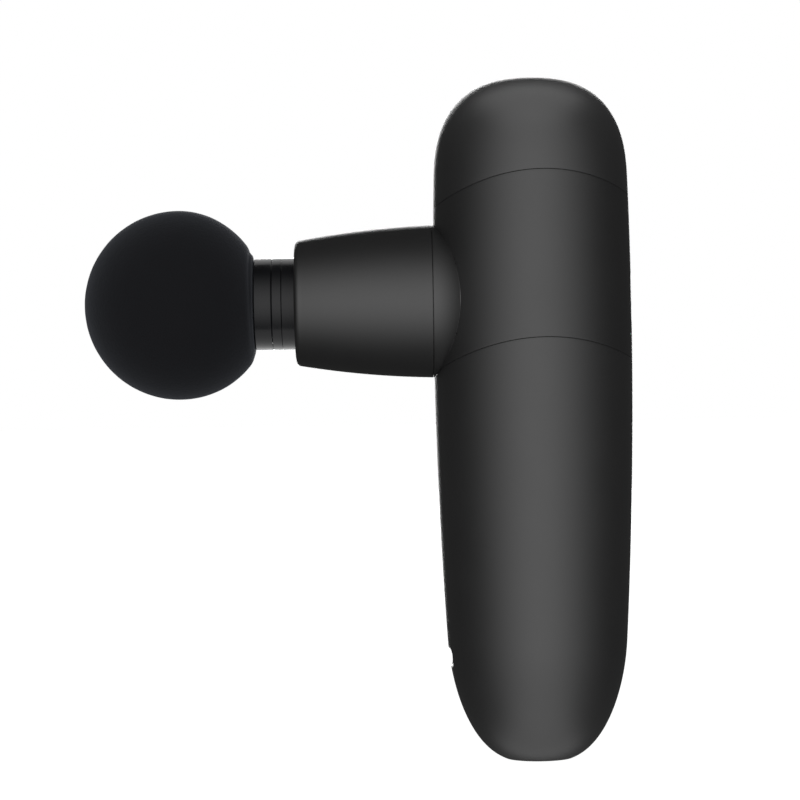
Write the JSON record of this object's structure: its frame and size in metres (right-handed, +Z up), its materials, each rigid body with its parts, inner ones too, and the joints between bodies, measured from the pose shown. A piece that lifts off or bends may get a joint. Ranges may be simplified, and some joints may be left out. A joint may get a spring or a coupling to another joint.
{
  "type": "massage gun",
  "caption": "T-shaped percussion massage gun with a round-ended handle, a tapered barrel, a sliding piston and a pull-off foam ball head.",
  "frame": {"origin": "centre of the handle's flat foot, on the handle's axis", "axes": "+Z up along the handle's axis, -X forward along the barrel to the massage head, +X to the back with the power button, +Y across the handle"},
  "size_m": [0.1212, 0.044, 0.1506],
  "materials": {
    "soft_black": "fine matt soft-touch",
    "gloss_black": "polished",
    "foam_black": "dense matt foam skin",
    "foot_rubber": "matt",
    "nylon": "natural moulded",
    "cast_alloy": "cast satin",
    "steel": "machined",
    "bronze": "sintered",
    "lamination": "stacked sheet",
    "copper": "enamelled wire",
    "magnet": "nickel plated",
    "cell_wrap": "heat-shrink film",
    "circuit": "solder mask",
    "chip": "moulded",
    "light_pipe": "milky clear",
    "red_wire": "insulated",
    "yellow_wire": "insulated",
    "blue_wire": "insulated"
  },
  "bodies": {
    "housing": {"top_cap": "soft_black", "upper_housing": "soft_black", "grip_shell": "soft_black", "barrel_sleeve": "soft_black", "nose_ring": "gloss_black", "foot_pad": "foot_rubber", "battery_carrier": "nylon", "drive_frame": "cast_alloy", "motor_base": "cast_alloy", "lower_motor_bearing": "steel", "upper_motor_bearing": "steel", "foot_screw": "steel", "frame_screw_1": "steel", "frame_screw_2": "steel", "frame_screw_3": "steel", "frame_screw_4": "steel", "motor_screw_1": "steel", "motor_screw_2": "steel", "carrier_screw_1": "steel", "carrier_screw_2": "steel", "board_screw_1": "steel", "board_screw_2": "steel", "top_link_strip": "steel", "bottom_link_strip": "steel", "charging_socket": "steel", "guide_sleeve": "bronze", "stator_core": "lamination", "board_capacitor": "lamination", "stator_windings": "copper", "battery_cell_1": "cell_wrap", "battery_cell_2": "cell_wrap", "battery_cell_3": "cell_wrap", "control_board": "circuit", "charge_board": "circuit", "button_board": "circuit", "motor_driver_chip": "chip", "button_switch": "chip", "light_guide": "light_pipe", "motor_wire_1": "red_wire", "battery_wire": "red_wire", "motor_wire_2": "yellow_wire", "charge_wire": "yellow_wire", "motor_wire_3": "blue_wire", "button_wire": "blue_wire"},
    "rotor": {"rotor_bell": "steel", "magnet_ring": "magnet", "motor_shaft": "steel", "shaft_clip": "steel", "crank_wheel": "steel"},
    "piston": {"piston": "gloss_black", "wrist_pin": "steel", "socket_ring": "gloss_black"},
    "rod": {"connecting_rod": "nylon", "rod_bearing": "steel"},
    "head_seals": {"head_o_ring_1": "foot_rubber", "head_o_ring_2": "foot_rubber"},
    "head": {"head_stem": "gloss_black", "foam_ball": "foam_black"},
    "button": {"power_button": "soft_black"}
  },
  "joints": [
    {"name": "crank_spin", "type": "hinge", "parent": "housing", "child": "rotor", "pos_m": [0, 0, 0.1016], "axis": [0, 0, 1], "continuous": true},
    {"name": "piston_slide", "type": "slide", "parent": "housing", "child": "piston", "axis": [-1, 0, 0], "range_m": [0, 0.007]},
    {"name": "rod_swing", "type": "hinge", "parent": "piston", "child": "rod", "pos_m": [-0.0205, 0, 0.1016], "axis": [0, 0, 1], "range_deg": [-8.4, 8.4]},
    {"name": "head_pull", "type": "slide", "parent": "piston", "child": "head_seals", "axis": [-1, 0, 0], "range_m": [0, 0.03]},
    {"name": "head_twist", "type": "hinge", "parent": "head_seals", "child": "head", "pos_m": [-0.0581, 0, 0.1016], "axis": [-1, 0, 0], "continuous": true},
    {"name": "button_press", "type": "slide", "parent": "housing", "child": "button", "axis": [-1, 0, 0], "range_m": [0, 0.0006], "stiffness_N_per_m": 2500}
  ]
}
